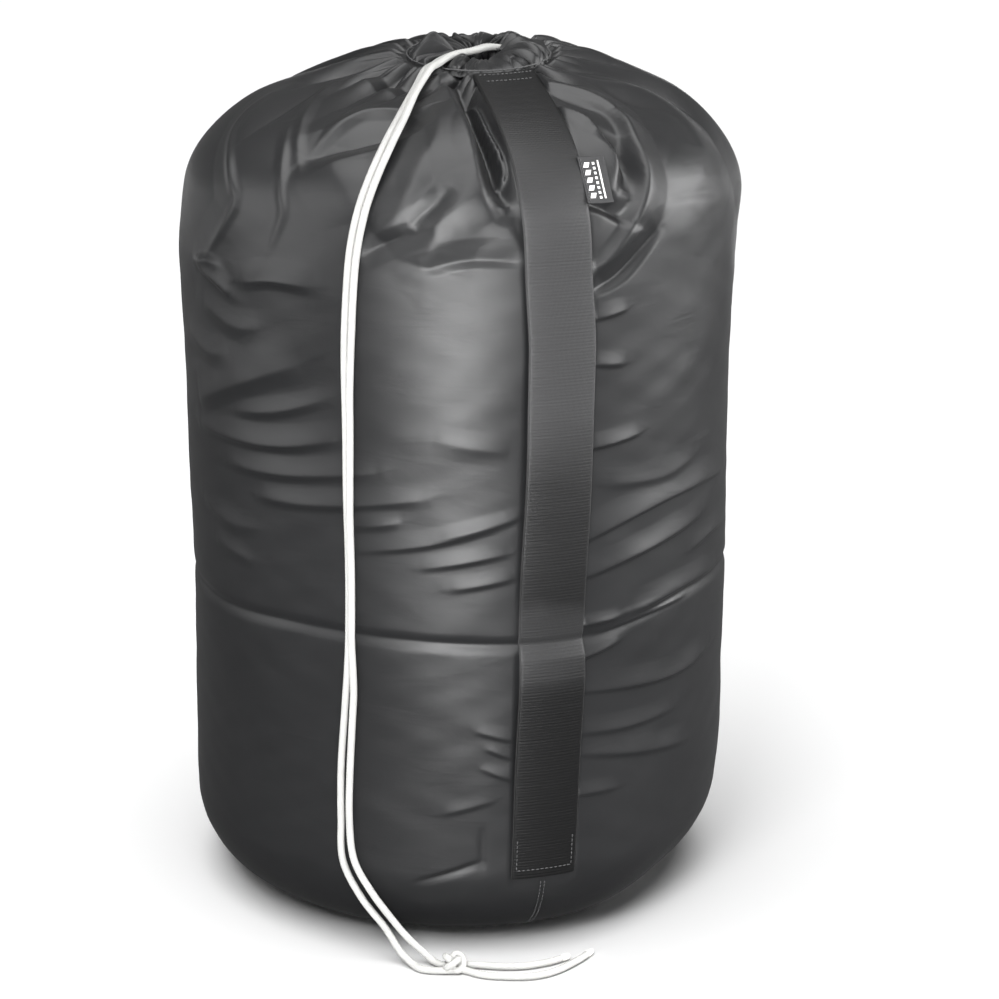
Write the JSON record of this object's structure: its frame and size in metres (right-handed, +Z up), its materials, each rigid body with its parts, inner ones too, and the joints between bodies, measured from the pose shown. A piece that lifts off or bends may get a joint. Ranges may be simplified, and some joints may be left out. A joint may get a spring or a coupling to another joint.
{
  "type": "drawcord sack",
  "caption": "Tall round drawcord sack, filled and standing, with a gathered cord-drawn mouth, a wide webbing strap sewn down its side and a small side label.",
  "frame": {"origin": "on the floor, under the middle of the standing sack", "axes": "+Z up along the sack to its mouth; the front of the sack, with the strap and the cord, faces -Y; +X is to the right seen from the front"},
  "size_m": [0.3848, 0.4191, 0.592],
  "materials": {
    "nylon": "satin woven nylon, black",
    "binding": "matt folded seam tape, black",
    "webbing": "ribbed black webbing, slight sheen",
    "thread": "black sewing thread",
    "cord": "white braided cord, matt",
    "cord_tip": "melted cord end",
    "label": "black woven label with a plain white pattern"
  },
  "bodies": {
    "sack": {"bottom_panel": "nylon", "bottom_seam_binding": "binding", "side_panel": "nylon", "side_seam_binding": "binding", "drawcord_casing": "nylon", "casing_hem_stitching": "thread", "exit_buttonhole": "thread", "drawcord_loop": "cord", "drawcord_strand_left": "cord", "drawcord_strand_right": "cord", "drawcord_knot": "cord", "drawcord_tail_left": "cord", "drawcord_tail_right": "cord", "cord_tip_left": "cord_tip", "cord_tip_right": "cord_tip", "strap_upper_end": "webbing", "strap_lower_end": "webbing", "strap_top_stitching": "thread", "strap_bottom_stitching": "thread"},
    "strap": {"strap_grip": "webbing"},
    "label": {"woven_label": "label", "label_stitching": "thread"}
  },
  "joints": [
    {"name": "strap_lift", "type": "slide", "parent": "sack", "child": "strap", "axis": [0.3087, -0.9512, 0], "range_m": [0, 0.03]},
    {"name": "label_flap", "type": "hinge", "parent": "sack", "child": "label", "pos_m": [0.0777, -0.16939, 0.52074], "axis": [0.2031, -0.5056, -0.8385], "range_deg": [0, 120]}
  ]
}
